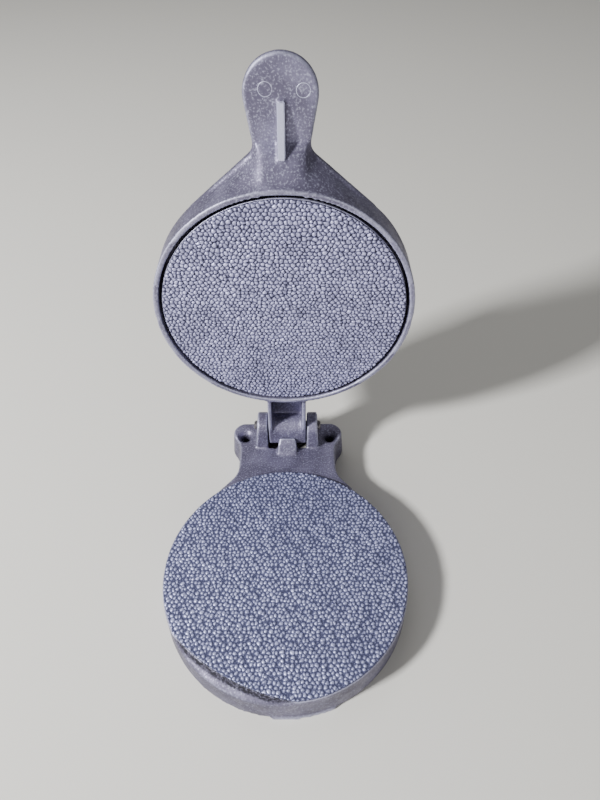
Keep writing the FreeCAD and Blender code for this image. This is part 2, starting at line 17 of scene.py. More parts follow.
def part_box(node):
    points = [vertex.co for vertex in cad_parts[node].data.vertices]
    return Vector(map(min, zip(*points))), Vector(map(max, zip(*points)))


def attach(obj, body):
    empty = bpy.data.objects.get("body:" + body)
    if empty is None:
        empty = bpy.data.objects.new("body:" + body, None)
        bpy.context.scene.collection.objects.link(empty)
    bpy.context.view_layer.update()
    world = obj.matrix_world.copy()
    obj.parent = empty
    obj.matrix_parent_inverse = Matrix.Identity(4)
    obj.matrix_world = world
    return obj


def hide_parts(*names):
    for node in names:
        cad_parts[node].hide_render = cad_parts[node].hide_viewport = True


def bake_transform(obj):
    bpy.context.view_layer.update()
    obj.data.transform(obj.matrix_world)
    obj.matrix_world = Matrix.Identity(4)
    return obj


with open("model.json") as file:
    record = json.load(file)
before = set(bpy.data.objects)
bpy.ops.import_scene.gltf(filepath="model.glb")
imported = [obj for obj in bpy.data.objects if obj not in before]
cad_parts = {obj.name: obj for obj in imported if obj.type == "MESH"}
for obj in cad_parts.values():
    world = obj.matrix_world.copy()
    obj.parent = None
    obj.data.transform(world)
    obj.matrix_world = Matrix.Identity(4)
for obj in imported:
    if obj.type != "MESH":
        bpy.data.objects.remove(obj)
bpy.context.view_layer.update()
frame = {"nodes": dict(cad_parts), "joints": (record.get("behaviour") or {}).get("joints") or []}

bl_info = {
    "name": "Cast Patty Press",
    "version": (1, 0, 0),
    "blender": (4, 5, 0),
    "location": "View3D > Sidebar > Patty Press",
    "description": "Builds the castings, pebbled faces, fittings and studio of a hinged patty press",
    "category": "Object",
}

MM = 0.001

JOINTS = {joint["name"]: joint for joint in frame["joints"]}
HINGE_POINT = Vector(JOINTS["lid_hinge"]["pos_m"])
INTO_LID = Vector(JOINTS["ejector_slide"]["axis"]).normalized()
TO_RIGHT = Vector(JOINTS["lid_hinge"]["axis"]).normalized()
LID_UP = TO_RIGHT.cross(INTO_LID)
BASE_FACE_HEIGHT = 18 * MM      # table to the pressing face
FACE_RADIUS = 55 * MM
SCOOP_BEARING = -117.0          # degrees, where the thumb scoop's middle lies on the base's edge
SCOOP_HALF_ANGLE = 34.0         # degrees
SCOOP_BITE = 4.1 * MM           # how far the scoop reaches in from the edge
HANDLE_FRONT = 12.5 * MM        # behind the rim
FLAT_TOLERANCE = 0.02 * MM      # a point this near a face's height belongs to the face
SINK_MARGIN = 2 * MM            # how far past its flat a pressing face is lowered under its pebbles
UP = Vector((0, 0, 1))
BACK = Vector((0, 1, 0))


def points_of(mesh):
    """All points of a mesh, one row each."""
    flat = np.empty(3 * len(mesh.vertices))
    mesh.vertices.foreach_get("co", flat)
    return flat.reshape(-1, 3)


def pressing_face(node, outward, face_height):
    """Middle and radius of the round flat face of a node, and the node's surface for casting rays."""
    shape = bmesh.new()
    shape.from_mesh(frame["nodes"][node].data)
    surface = BVHTree.FromBMesh(shape)
    shape.free()
    points = points_of(frame["nodes"][node].data)
    flat = points[np.abs(points @ np.array(outward) - face_height) < FLAT_TOLERANCE]
    up = BACK if outward == UP else LID_UP
    sides, ups = flat @ np.array(TO_RIGHT), flat @ np.array(up)
    radius = float(sides.max() - sides.min()) / 2
    middle = (
        float(sides.max() + sides.min()) / 2 * TO_RIGHT + (float(ups.max()) - radius) * up
        + face_height * outward)
    return middle, radius, surface


PLATE_HEIGHT = float((points_of(frame["nodes"]["ejector_plate"].data) @ -np.array(INTO_LID)).max())
LID_MIDDLE, PLATE_RADIUS, PLATE_SURFACE = pressing_face("ejector_plate", -INTO_LID, PLATE_HEIGHT)


def lid_point(side, up, depth):
    """A point of the lid, from its distances to the right, towards the handle and behind the rim."""
    return LID_MIDDLE + side * TO_RIGHT + up * LID_UP + depth * INTO_LID


def linear_colour(hex_colour, alpha=1.0):
    """Turns an sRGB hex colour into the linear RGBA that Blender's sockets take."""
    channels = [int(hex_colour[i:i + 2], 16) / 255 for i in (1, 3, 5)]
    linear = [c / 12.92 if c <= 0.04045 else ((c + 0.055) / 1.055) ** 2.4 for c in channels]
    return (*linear, alpha)


class CastingSettings(bpy.types.PropertyGroup):
    """Sizes and colours of the two rough castings."""

    base_cell: FloatProperty(
        name="Base Cell", description="Cell size of the base's cast skin", default=0.76 * MM, unit="LENGTH")
    lid_cell: FloatProperty(
        name="Lid Cell", description="Cell size of the lid's cast skin", default=0.66 * MM, unit="LENGTH")
    swell: FloatProperty(
        name="Swell", description="Height of the slow waves in the cast walls", default=0.10 * MM,
        unit="LENGTH")
    swell_length: FloatProperty(
        name="Swell Length", description="Distance between the slow waves", default=11 * MM, unit="LENGTH")
    grain: FloatProperty(
        name="Grain", description="Height of the sand's grain in the skin", default=0.035 * MM,
        unit="LENGTH")
    grain_length: FloatProperty(
        name="Grain Length", description="Distance between the sand's bumps", default=2.2 * MM,
        unit="LENGTH")
    rib_width: FloatProperty(
        name="Rib Width", description="Width of the handle's rib", default=2.8 * MM, unit="LENGTH")
    mark_radius: FloatProperty(
        name="Mark Radius", description="Radius of the mould's ring marks", default=2.4 * MM, unit="LENGTH")
    body_colour: FloatVectorProperty(
        name="Body Colour", description="Oxidised cast aluminium", subtype="COLOR", size=4, min=0, max=1,
        default=linear_colour("#7b7791"))
    dark_colour: FloatVectorProperty(
        name="Dark Colour", description="Hollows that hold old oxide", subtype="COLOR", size=4,
        min=0, max=1, default=linear_colour("#585368"))
    bright_colour: FloatVectorProperty(
        name="Bright Colour", description="Rubbed edges and chips", subtype="COLOR", size=4, min=0, max=1,
        default=linear_colour("#c3c4de"))
    # Painted shade: this near-black lies under the base scoop's edge and in the hinge arm's channel, and it
    # also darkens the scoop and the foot of the base's wall
    oxide_and_shade_colour: FloatVectorProperty(
        name="Oxide Colour", description="Black oxide in undercuts", subtype="COLOR", size=4, min=0, max=1,
        default=linear_colour("#26252f"))


class PebbleSettings(bpy.types.PropertyGroup):
    """Sizes and colours of the two pebbled pressing faces."""

    spacing: FloatProperty(
        name="Spacing", description="Distance between pebbles", default=1.95 * MM, unit="LENGTH")
    cell: FloatProperty(
        name="Mesh Cell", description="Distance between the bed's mesh points", default=0.365 * MM,
        unit="LENGTH")
    base_height: FloatProperty(
        name="Base Height", description="Pebble tops above the base's ground", default=0.5 * MM,
        unit="LENGTH")
    lid_height: FloatProperty(
        name="Lid Height", description="Pebble tops above the plate's grooves", default=0.80 * MM,
        unit="LENGTH")
    bed: FloatProperty(
        name="Bed", description="Metal of the bed under the grooves", default=0.5 * MM, unit="LENGTH")
    jitter: FloatProperty(
        name="Jitter", description="How far a pebble strays, as a share of the spacing", default=0.3)
    warp: FloatProperty(
        name="Warp", description="How far the pebbles' outlines are bent", default=0.42 * MM, unit="LENGTH")
    warp_length: FloatProperty(
        name="Warp Length", description="Distance between the bends", default=1.5 * MM, unit="LENGTH")
    seed: IntProperty(name="Seed", description="Start of the random draws", default=11)
    lip: FloatProperty(
        name="Lip", description="How far the bed reaches past the flat face", default=0.4 * MM,
        unit="LENGTH")
    rim_fade: FloatProperty(
        name="Rim Fade", description="Width in which the outermost pebbles sink", default=0.6 * MM,
        unit="LENGTH")
    lid_top_colour: FloatVectorProperty(
        name="Lid Tops", description="Rubbed pebble tops of the ejector plate", subtype="COLOR", size=4,
        min=0, max=1, default=linear_colour("#d3d2ff"))
    lid_groove_colour: FloatVectorProperty(
        name="Lid Grooves", description="Oxide between the plate's pebbles", subtype="COLOR", size=4,
        min=0, max=1, default=linear_colour("#2a2a40"))
    base_top_colour: FloatVectorProperty(
        name="Base Tops", description="Rubbed pebble tops of the base", subtype="COLOR", size=4,
        min=0, max=1, default=linear_colour("#c9cdf8"))
    base_groove_colour: FloatVectorProperty(
        name="Base Grooves", description="Oxide between the base's pebbles", subtype="COLOR", size=4,
        min=0, max=1, default=linear_colour("#464866"))


class StageSettings(bpy.types.PropertyGroup):
    """Camera, lights and floor."""

    camera_place: FloatVectorProperty(
        name="Camera Place", description="Where the camera stands", subtype="TRANSLATION", size=3,
        default=(6.2 * MM, -124.0 * MM, 270.5 * MM))
    camera_tilt: FloatProperty(
        name="Camera Tilt", description="How far the camera looks down", subtype="ANGLE",
        default=math.radians(47.9))
    camera_turn: FloatProperty(
        name="Camera Turn", description="How far the camera looks to the right", subtype="ANGLE",
        default=math.radians(0.13))
    lens: FloatProperty(name="Lens", description="Focal length in millimetres", default=27.0)
    key_place: FloatVectorProperty(
        name="Key Place", description="Main light, high on the left", subtype="TRANSLATION", size=3,
        default=(-0.85, -0.44, 0.74))
    key_size: FloatProperty(
        name="Key Size", description="Width of the main light", default=0.13, unit="LENGTH")
    key_power: FloatProperty(name="Key Power", description="Watts of the main light", default=30.0)
    fill_place: FloatVectorProperty(
        name="Fill Place", description="Weak light, low in front", subtype="TRANSLATION", size=3,
        default=(0.15, -1.0, 0.28))
    fill_size: FloatProperty(
        name="Fill Size", description="Width of the weak light", default=0.7, unit="LENGTH")
    fill_power: FloatProperty(name="Fill Power", description="Watts of the weak light", default=2.5)
    back_place: FloatVectorProperty(
        name="Back Place", description="Light behind the press", subtype="TRANSLATION", size=3,
        default=(-0.2, 0.5, 0.95))
    back_size: FloatProperty(
        name="Back Size", description="Width of the back light", default=0.6, unit="LENGTH")
    back_power: FloatProperty(name="Back Power", description="Watts of the back light", default=1.5)
    world_strength: FloatProperty(name="World", description="Strength of the even white room", default=0.24)
    floor_size: FloatProperty(
        name="Floor Size", description="Width of the floor", default=6.0, unit="LENGTH")
    floor_colour: FloatVectorProperty(
        name="Floor Colour", description="Pale matte board", subtype="COLOR", size=4, min=0, max=1,
        default=linear_colour("#d9d7d1"))


# ---- Materials

# Patterns on the metal, with the distance between their patches in millimetres
OXIDE_CLOUD = {"Scale": 1 / (17 * MM), "Detail": 4.0, "Roughness": 0.6}
SAND_GRAIN = {"Scale": 1 / (0.8 * MM), "Detail": 2.0, "Roughness": 0.55}
CHIPS = {"Scale": 1 / (3.4 * MM)}
CHIP_PATCH = {"Scale": 1 / (12 * MM), "Detail": 3.0, "Roughness": 0.55}     # more or fewer chips
RAGGED_EDGE = {"Scale": 1 / (1.3 * MM), "Detail": 3.0, "Roughness": 0.7}    # tears a mark's edge
HANDLING_PATCH = {"Scale": 1 / (5 * MM), "Detail": 3.0, "Roughness": 0.55}  # smoother or rougher
PEBBLE_TINT = {"Scale": 1 / (1.6 * MM), "Detail": 1.0, "Roughness": 0.55}   # from pebble to pebble
WORN_PATCH = {"Scale": 1 / (26 * MM), "Detail": 3.0, "Roughness": 0.55}     # darker places of a face
FLECK = {"Scale": 1 / (0.55 * MM), "Detail": 3.0, "Roughness": 0.7}
PEBBLE_GRAIN = {"Scale": 1 / (0.4 * MM), "Detail": 2.0, "Roughness": 0.55}
LATHE_RINGS = {"noise_dimensions": "1D", "Scale": 1 / (0.35 * MM), "Detail": 2.0}
HAND_PATCH = {"Scale": 1 / (6 * MM), "Detail": 3.0, "Roughness": 0.55}
SAND_DEPTH = 0.12 * MM
PEBBLE_GRAIN_DEPTH = 0.05 * MM
STEEL_GRAIN_DEPTH = 0.04 * MM
LATHE_DEPTH = 0.03 * MM

# What a smooth fade maps: two values of a pattern, and what they become
FADE = ("From Min", "From Max", "To Min", "To Max")

# Sockets of the mix node, whose names stand for several sockets each
MIX_AMOUNT, MIX_FIRST, MIX_SECOND, MIX_RESULT = 0, 6, 7, 2


def add_node(tree, kind, settings=None, links=None):
    """Adds a node. settings are its properties or input values, and links feed its inputs from outputs."""
    node = tree.nodes.new(kind)
    for key, value in (settings or {}).items():
        if isinstance(key, int) or key in node.inputs:
            node.inputs[key].default_value = value
        else:
            setattr(node, key, value)
    for key, source in (links or {}).items():
        tree.links.new(source, node.inputs[key])
    return node


def new_material(name):
    """An empty material with its tree, its object coordinates and its main shader, joined to the output."""
    material = bpy.data.materials.new(name)
    material.use_nodes = True
    tree = material.node_tree
    tree.nodes.clear()
    place = add_node(tree, "ShaderNodeTexCoord").outputs["Object"]
    shader = add_node(tree, "ShaderNodeBsdfPrincipled")
    output = add_node(tree, "ShaderNodeOutputMaterial")
    tree.links.new(shader.outputs["BSDF"], output.inputs["Surface"])
    return material, tree, place, shader


def coat(tree, under, over, pattern, *limits):
    """Lays one colour over another, each a socket or a fixed colour, where a pattern is strong.

    The limits are two values of the pattern, and how much of the upper colour shows at each.
    """
    share = add_node(
        tree, "ShaderNodeMapRange", {"interpolation_type": "SMOOTHSTEP", **dict(zip(FADE, limits))},
        {"Value": pattern}).outputs["Result"]
    settings, links = {"data_type": "RGBA"}, {MIX_AMOUNT: share}
    for index, colour in ((MIX_FIRST, under), (MIX_SECOND, over)):
        group = links if isinstance(colour, bpy.types.NodeSocket) else settings
        group[index] = colour
    return add_node(tree, "ShaderNodeMix", settings, links).outputs[MIX_RESULT]


def distance_past(tree, place, point, direction):
    """How far the surface lies past a point, measured along a direction."""
    offset = add_node(
        tree, "ShaderNodeVectorMath", {"operation": "SUBTRACT", 1: tuple(point)}, {0: place})
    return add_node(
        tree, "ShaderNodeVectorMath", {"operation": "DOT_PRODUCT", 1: tuple(direction)},
        {0: offset.outputs["Vector"]}).outputs["Value"]


def finish_metal(tree, shader, colour, metallic, wear, roughness, height, strength, depth):
    """Joins a metal's colour, roughness and fine bumps to its shader.

    The roughness follows the wear pattern: it holds two values of wear and the roughness at each. The
    bumps follow height and are depth high.
    """
    rough = add_node(
        tree, "ShaderNodeMapRange", {"interpolation_type": "SMOOTHSTEP", **dict(zip(FADE, roughness))},
        {"Value": wear}).outputs["Result"]
    tree.links.new(colour, shader.inputs["Base Color"])
    shader.inputs["Metallic"].default_value = metallic
    tree.links.new(rough, shader.inputs["Roughness"])
    bump = add_node(
        tree, "ShaderNodeBump", {"Strength": strength, "Distance": depth}, {"Height": height})
    tree.links.new(bump.outputs["Normal"], shader.inputs["Normal"])


def oxidised_cast_aluminium(name):
    """Sand-cast aluminium, long oxidised: a dull violet grey skin, rubbed bright on its edges.

    The eye sees broad soft blotches, a fine sand grain, and scattered light chips.
    """
    casting = bpy.context.scene.press_casting
    dark, bright = casting.dark_colour, casting.bright_colour
    material, tree, place, shader = new_material(name)
    cloud = add_node(tree, "ShaderNodeTexNoise", OXIDE_CLOUD, {"Vector": place}).outputs["Fac"]
    grain = add_node(tree, "ShaderNodeTexNoise", SAND_GRAIN, {"Vector": place}).outputs["Fac"]
    body = coat(tree, dark, casting.body_colour, cloud, 0.36, 0.66, 0.2, 1.0)
    body = coat(tree, body, bright, grain, 0.5, 0.72, 0.0, 0.45)
    body = coat(tree, body, dark, grain, 0.28, 0.46, 0.4, 0.0)
    from_chip = add_node(tree, "ShaderNodeTexVoronoi", CHIPS, {"Vector": place}).outputs["Distance"]
    chip_patch = add_node(tree, "ShaderNodeTexNoise", CHIP_PATCH, {"Vector": place}).outputs["Fac"]
    chip_size = add_node(
        tree, "ShaderNodeMapRange",
        {"interpolation_type": "SMOOTHSTEP", "From Min": 0.54, "From Max": 0.78, "To Max": 0.15},
        {"Value": chip_patch}).outputs["Result"]
    in_chip = add_node(
        tree, "ShaderNodeMath", {"operation": "SUBTRACT"}, {0: chip_size, 1: from_chip}).outputs[0]
    body = coat(tree, body, bright, in_chip, 0.0, 0.08, 0.0, 0.5)
    edge = add_node(tree, "ShaderNodeNewGeometry").outputs["Pointiness"]
    body = coat(tree, body, bright, edge, 0.512, 0.57, 0.0, 0.85)
    body = coat(tree, body, dark, edge, 0.40, 0.48, 0.6, 0.0)
    ragged = add_node(tree, "ShaderNodeTexNoise", RAGGED_EDGE, {"Vector": place}).outputs["Fac"]
    tear = add_node(
        tree, "ShaderNodeMapRange",
        {"interpolation_type": "SMOOTHSTEP", "From Min": 0.36, "From Max": 0.56, "To Min": 0.5},
        {"Value": ragged}).outputs["Result"]
    # The oxide weight paints shade under the base scoop's edge and inside the hinge arm's channel; on the
    # base it also darkens the scoop and the foot of the wall
    for mark, colour in (("rubbed", bright), ("oxide", casting.oxide_and_shade_colour)):
        weight = add_node(tree, "ShaderNodeAttribute", {"attribute_name": mark}).outputs["Fac"]
        uneven = add_node(
            tree, "ShaderNodeMath", {"operation": "MULTIPLY"}, {0: weight, 1: tear}).outputs[0]
        body = add_node(
            tree, "ShaderNodeMix", {"data_type": "RGBA", MIX_SECOND: colour},
            {MIX_AMOUNT: uneven, MIX_FIRST: body}).outputs[MIX_RESULT]
    handled = add_node(tree, "ShaderNodeTexNoise", HANDLING_PATCH, {"Vector": place}).outputs["Fac"]
    finish_metal(tree, shader, body, 0.6, handled, (0.3, 0.7, 0.42, 0.60), grain, 0.6, SAND_DEPTH)
    return material


def pebbled_cast_aluminium(name, face_point, outward, relief, top_colour, groove_colour):
    """Cast aluminium with pebbles: the tops are rubbed bright, and dark oxide stays in the grooves."""
    material, tree, place, shader = new_material(name)
    height = distance_past(tree, place, face_point, outward)
    rise = add_node(
        tree, "ShaderNodeMapRange",
        {"interpolation_type": "SMOOTHSTEP", "From Min": -relief * 0.92, "From Max": -relief * 0.02},
        {"Value": height}).outputs["Result"]
    tint = add_node(tree, "ShaderNodeTexNoise", PEBBLE_TINT, {"Vector": place}).outputs["Fac"]
    tone = add_node(
        tree, "ShaderNodeMapRange",
        {"interpolation_type": "SMOOTHSTEP", "From Min": 0.3, "From Max": 0.65, "To Min": 0.55},
        {"Value": tint}).outputs["Result"]
    rise = add_node(tree, "ShaderNodeMath", {"operation": "MULTIPLY"}, {0: rise, 1: tone}).outputs[0]
    colour = add_node(
        tree, "ShaderNodeMix", {"data_type": "RGBA", MIX_FIRST: groove_colour, MIX_SECOND: top_colour},
        {MIX_AMOUNT: rise}).outputs[MIX_RESULT]
    patch = add_node(tree, "ShaderNodeTexNoise", WORN_PATCH, {"Vector": place}).outputs["Fac"]
    colour = coat(tree, colour, groove_colour, patch, 0.45, 0.7, 0.0, 0.25)
    fleck = add_node(tree, "ShaderNodeTexNoise", FLECK, {"Vector": place}).outputs["Fac"]
    colour = coat(tree, colour, top_colour, fleck, 0.52, 0.66, 0.0, 0.4)
    colour = coat(tree, colour, groove_colour, fleck, 0.34, 0.46, 0.45, 0.0)
    grain = add_node(tree, "ShaderNodeTexNoise", PEBBLE_GRAIN, {"Vector": place}).outputs["Fac"]
    finish_metal(
        tree, shader, colour, 0.6, rise, (0.0, 1.0, 0.6, 0.38), grain, 0.35, PEBBLE_GRAIN_DEPTH)
    return material


def steel(name, light, dark, metallic, roughness, grain_size):
    """A steel surface with slightly uneven tone; grain_size is the width of its patches in metres."""
    material, tree, place, shader = new_material(name)
    patch = add_node(
        tree, "ShaderNodeTexNoise", {"Scale": 1 / grain_size, "Detail": 4.0, "Roughness": 0.6},
        {"Vector": place}).outputs["Fac"]
    colour = coat(tree, linear_colour(dark), linear_colour(light), patch, 0.35, 0.65, 0.0, 1.0)
    fine = add_node(
        tree, "ShaderNodeTexNoise",
        {"Scale": 1 / (grain_size * 0.12), "Detail": 2.0, "Roughness": 0.55},
        {"Vector": place}).outputs["Fac"]
    finish_metal(
        tree, shader, colour, metallic, patch, (0.3, 0.7, roughness * 1.25, roughness * 0.85), fine,
        0.2, STEEL_GRAIN_DEPTH)
    return material


def turned_aluminium():
    """Aluminium turned on a lathe and dulled by hands: soft grey with faint rings round its axis."""
    material, tree, place, shader = new_material("turned_aluminium")
    depth = distance_past(tree, place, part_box("release_knob")[0], INTO_LID)
    ring = add_node(tree, "ShaderNodeTexNoise", LATHE_RINGS, {"W": depth}).outputs["Fac"]
    patch = add_node(tree, "ShaderNodeTexNoise", HAND_PATCH, {"Vector": place}).outputs["Fac"]
    dull, clean = linear_colour("#8a8a92"), linear_colour("#a9a9b2")
    colour = coat(tree, dull, clean, patch, 0.35, 0.65, 0.0, 1.0)
    finish_metal(tree, shader, colour, 0.9, ring, (0.3, 0.7, 0.32, 0.48), ring, 0.25, LATHE_DEPTH)
    return material


def matte_board():
    """Pale matte board: an even, soft floor."""
    material, _, _, shader = new_material("matte_board")
    shader.inputs["Base Color"].default_value = bpy.context.scene.press_stage.floor_colour
    shader.inputs["Roughness"].default_value = 0.9
    shader.inputs["Specular IOR Level"].default_value = 0.2
    return material


def dress(piece, material):
    """Gives a piece this one material."""
    piece.data.materials.clear()
    piece.data.materials.append(material)


# ---- Shared mesh work

WELD = 0.001 * MM                       # points nearer than this become one
LEAST_WEIGHT = 0.02                     # smaller weights are left out of a softened zone
NOISE_SHIFT = (0.37, 0.71, 0.13)        # where in the noise each seed starts


def frame_piece(name, mesh):
    """A new object of the scene that shows a mesh."""
    piece = bpy.data.objects.new(name, mesh)
    bpy.context.scene.collection.objects.link(piece)
    return piece


def piece_from(name, shape):
    """A new object of the scene from a bmesh, which is then freed."""
    mesh = bpy.data.meshes.new(name)
    shape.to_mesh(mesh)
    shape.free()
    return frame_piece(name, mesh)


def applied(piece):
    """Bakes the piece's modifiers into its mesh."""
    evaluated = piece.evaluated_get(bpy.context.evaluated_depsgraph_get())
    mesh = bpy.data.meshes.new_from_object(evaluated)
    old = piece.data
    piece.modifiers.clear()
    piece.data = mesh
    bpy.data.meshes.remove(old)
    return piece


def cast_skin(name, node, cell, smooth_steps=2):
    """A copy of a frame node with an even mesh and softened edges, as a sand mould leaves them."""
    shape = bmesh.new()
    shape.from_mesh(frame["nodes"][node].data)
    bmesh.ops.remove_doubles(shape, verts=shape.verts, dist=WELD)
    piece = piece_from(name, shape)
    skin = piece.modifiers.new("even_skin", "REMESH")
    skin.mode = "VOXEL"
    skin.voxel_size = cell
    skin.use_smooth_shade = True
    soften = piece.modifiers.new("soft_edges", "SMOOTH")
    soften.factor = 0.5
    soften.iterations = smooth_steps
    return applied(piece)


def normals_of(mesh):
    """The normals at a mesh's points, one row each."""
    flat = np.empty(3 * len(mesh.vertices))
    mesh.vertices.foreach_get("normal", flat)
    return flat.reshape(-1, 3)


def set_points(mesh, points):
    """Moves a mesh's points."""
    mesh.vertices.foreach_set("co", points.ravel())
    mesh.update()


def roughen(piece, seed):
    """Slow waves and a fine grain, along the surface's normals."""
    casting = bpy.context.scene.press_casting
    mesh = piece.data
    points, normals = points_of(mesh), normals_of(mesh)
    shift = Vector([seed * part for part in NOISE_SHIFT])
    heights = np.empty(len(points))
    for index, point in enumerate(points):
        place = Vector(point)
        slow = noise.noise(place / casting.swell_length + shift)
        fine = noise.noise(place / casting.grain_length + shift)
        heights[index] = casting.swell * slow + casting.grain * fine
    set_points(mesh, points + normals * heights[:, None])


def lid_places(points):
    """Points as distance to the right, distance towards the handle, and depth behind the rim."""
    offset = points - np.array(LID_MIDDLE)
    return offset @ np.array(TO_RIGHT), offset @ np.array(LID_UP), offset @ np.array(INTO_LID)


def fade(value, low, high):
    """0 below low, 1 above high, and smooth between them."""
    share = np.clip((value - low) / (high - low), 0, 1)
    return share * share * (3 - 2 * share)


def between(value, low, high, width):
    """1 from low to high, fading to 0 over width on both sides."""
    return fade(value, low - width, low) * (1 - fade(value, high, high + width))


def soften_zone(piece, weights, steps):
    """Smooths the piece's mesh where its points have weight."""
    zone = piece.vertex_groups.new(name="soft_zone")
    for index in np.nonzero(weights > LEAST_WEIGHT)[0]:
        zone.add([int(index)], float(weights[index]), "REPLACE")
    soften = piece.modifiers.new("soften_zone", "SMOOTH")
    soften.factor = 0.5
    soften.iterations = steps
    soften.vertex_group = zone.name
    applied(piece)


def mark_points(mesh, name, weights):
    """Stores how rubbed or oxidised each point is, for the casting's material."""
    values = np.asarray(weights, dtype=np.float32)
    mesh.attributes.new(name, "FLOAT", "POINT").data.foreach_set("value", values)


def sink_face(piece, middle, outward, depth, reach):
    """Lowers a pressing face by depth, to make room for its pebbles."""
    mesh = piece.data
    points = points_of(mesh)
    offset = points - np.array(middle)
    height = offset @ np.array(outward)
    across = offset - height[:, None] * np.array(outward)
    inside = (np.linalg.norm(across, axis=1) < reach) & (height > -depth)
    lowered = points - (height + depth)[:, None] * np.array(outward)
    points[inside] = lowered[inside]
    set_points(mesh, points)


# ---- Pebbled faces

SMALLEST_RISE = 0.7         # rise of the lowest pebble, as a share of the highest
GROOVE_WALL = 0.34          # width of the wall between close-set pebbles, as a share of the spacing
DOME_DROP = 0.3             # how far a close-set pebble's dome falls away towards its edge
DOME_REACH = 0.6            # where it has fallen that far, as a share of the spacing
DOT_RADIUS = 0.36           # radius of the smallest round dot, as a share of the spacing
DOT_GROWTH = 0.20           # what the largest dot's radius has more
DOT_WALL = 0.3              # width of the wall between touching dots, as a share of the spacing
DOT_EDGE = 1.35             # where a dot has sunk to the ground, as a share of its radius
RIM_RISE = 0.55             # rise of the outermost pebbles, as a share of the others
RAY_START = 5 * MM          # rays at a face start this far above it
DEEPEST_FLAT = 0.2 * MM     # ground that lies deeper belongs to a scoop or a rounded edge


def lattice(radius, step, margin):
    """Row, column and place of each point of a triangular lattice that covers a round face."""
    row_step = step * math.sqrt(3) / 2
    rows = int(radius / row_step) + margin
    columns = int(radius / step) + margin
    for row in range(-rows, rows + 1):
        for column in range(-columns, columns + 1):
            yield row, column, (column + 0.5 * (row % 2)) * step, row * row_step


def scattered_pebbles(radius, rng):
    """A lookup of pebble centres, which stray at random from a lattice, and a random tone for each."""
    pebbles = bpy.context.scene.press_pebbles
    centres = []
    for _, _, x, y in lattice(radius + pebbles.spacing, pebbles.spacing, margin=2):
        stray = rng.uniform(-1, 1, 2) * pebbles.jitter * pebbles.spacing
        centres.append((x + stray[0], y + stray[1]))
    tones = rng.uniform(0, 1, len(centres))
    lookup = kdtree.KDTree(len(centres))
    for index, (x, y) in enumerate(centres):
        lookup.insert((x, y, 0), index)
    lookup.balance()
    return lookup, tones


def smooth(value):
    """The same smooth step as fade, for one number from 0 to 1."""
    value = min(1.0, max(0.0, value))
    return value * value * (3 - 2 * value)


def toned_rise(tone):
    """Rise of a pebble by its tone: low for 0 and full for 1."""
    return SMALLEST_RISE + (1 - SMALLEST_RISE) * tone


def packed_pebble(nearest, second, tone, spacing):
    """Close-set pebbles: domes with narrow grooves where they meet."""
    wall = smooth((second - nearest) / (GROOVE_WALL * spacing))
    dome = 1 - DOME_DROP * min(1.0, nearest / (DOME_REACH * spacing)) ** 2
    return wall * dome * toned_rise(tone)


def round_pebble(nearest, second, tone, spacing):
    """Separate round dots with room between them; tone makes some small and some large."""
    radius = (DOT_RADIUS + DOT_GROWTH * tone) * spacing
    room = smooth((second - nearest) / (DOT_WALL * spacing))
    return smooth(DOT_EDGE - nearest / radius) * room * toned_rise(tone)


def pebble_bed(name, middle, radius, surface, outward, along, profile, relief, seed):
    """A closed plate of pebbles over a round pressing face.

    The bed covers the places where the surface lies at the face's height, so it stops at the face's
    rounded edge and at any scoop.
    """
    pebbles = bpy.context.scene.press_pebbles
    across = along.cross(outward)
    noise.seed_set(seed)        # unseeded, noise_vector starts from another state in each session
    lookup, tones = scattered_pebbles(radius, np.random.default_rng(seed))
    reach_limit = radius + pebbles.lip
    bed = bmesh.new()
    grid = {}
    for row, column, x, y in lattice(reach_limit, pebbles.cell, margin=1):
        reach = math.hypot(x, y)
        if reach > reach_limit:
            continue
        spot = middle + x * across + y * along
        hit = surface.ray_cast(spot + RAY_START * outward, -outward)[0]
        if hit is None or (hit - spot).dot(outward) < -DEEPEST_FLAT:
            continue
        bend = pebbles.warp * noise.noise_vector(Vector((x, y, seed * MM)) / pebbles.warp_length)
        (_, first, nearest), (_, _, second) = lookup.find_n((x + bend.x, y + bend.y, 0), 2)
        rim = min(1.0, (reach_limit - reach) / pebbles.rim_fade)
        rise = profile(nearest, second, tones[first], pebbles.spacing)
        rise *= RIM_RISE + (1 - RIM_RISE) * rim
        grid[row, column] = bed.verts.new(spot - outward * relief * (1 - rise))
    for (row, column), corner in grid.items():
        beside = grid.get((row, column + 1))
        above_right = grid.get((row + 1, column + row % 2))
        above_left = grid.get((row + 1, column + row % 2 - 1))
        if beside and above_right:
            bed.faces.new((corner, beside, above_right))
        if above_right and above_left:
            bed.faces.new((corner, above_right, above_left))
    loose = [vert for vert in bed.verts if not vert.link_faces]
    bmesh.ops.delete(bed, geom=loose, context="VERTS")
    close_underneath(bed, outward, middle.dot(outward) - relief - pebbles.bed)
    return piece_from(name, bed)


def close_underneath(bed, outward, floor_height):
    """Drops a skirt from the bed's border to a flat underside, so that the bed is a closed solid."""
    border = [edge for edge in bed.edges if edge.is_boundary]
    skirt = bmesh.ops.extrude_edge_only(bed, edges=border)["geom"]
    for item in skirt:
        if isinstance(item, bmesh.types.BMVert):
            item.co += outward * (floor_height - item.co.dot(outward))
    bmesh.ops.holes_fill(bed, edges=[edge for edge in bed.edges if edge.is_boundary], sides=0)
    bmesh.ops.recalc_face_normals(bed, faces=bed.faces)
    for face in bed.faces:
        face.smooth = len(face.verts) < 5


# ---- The handle's details

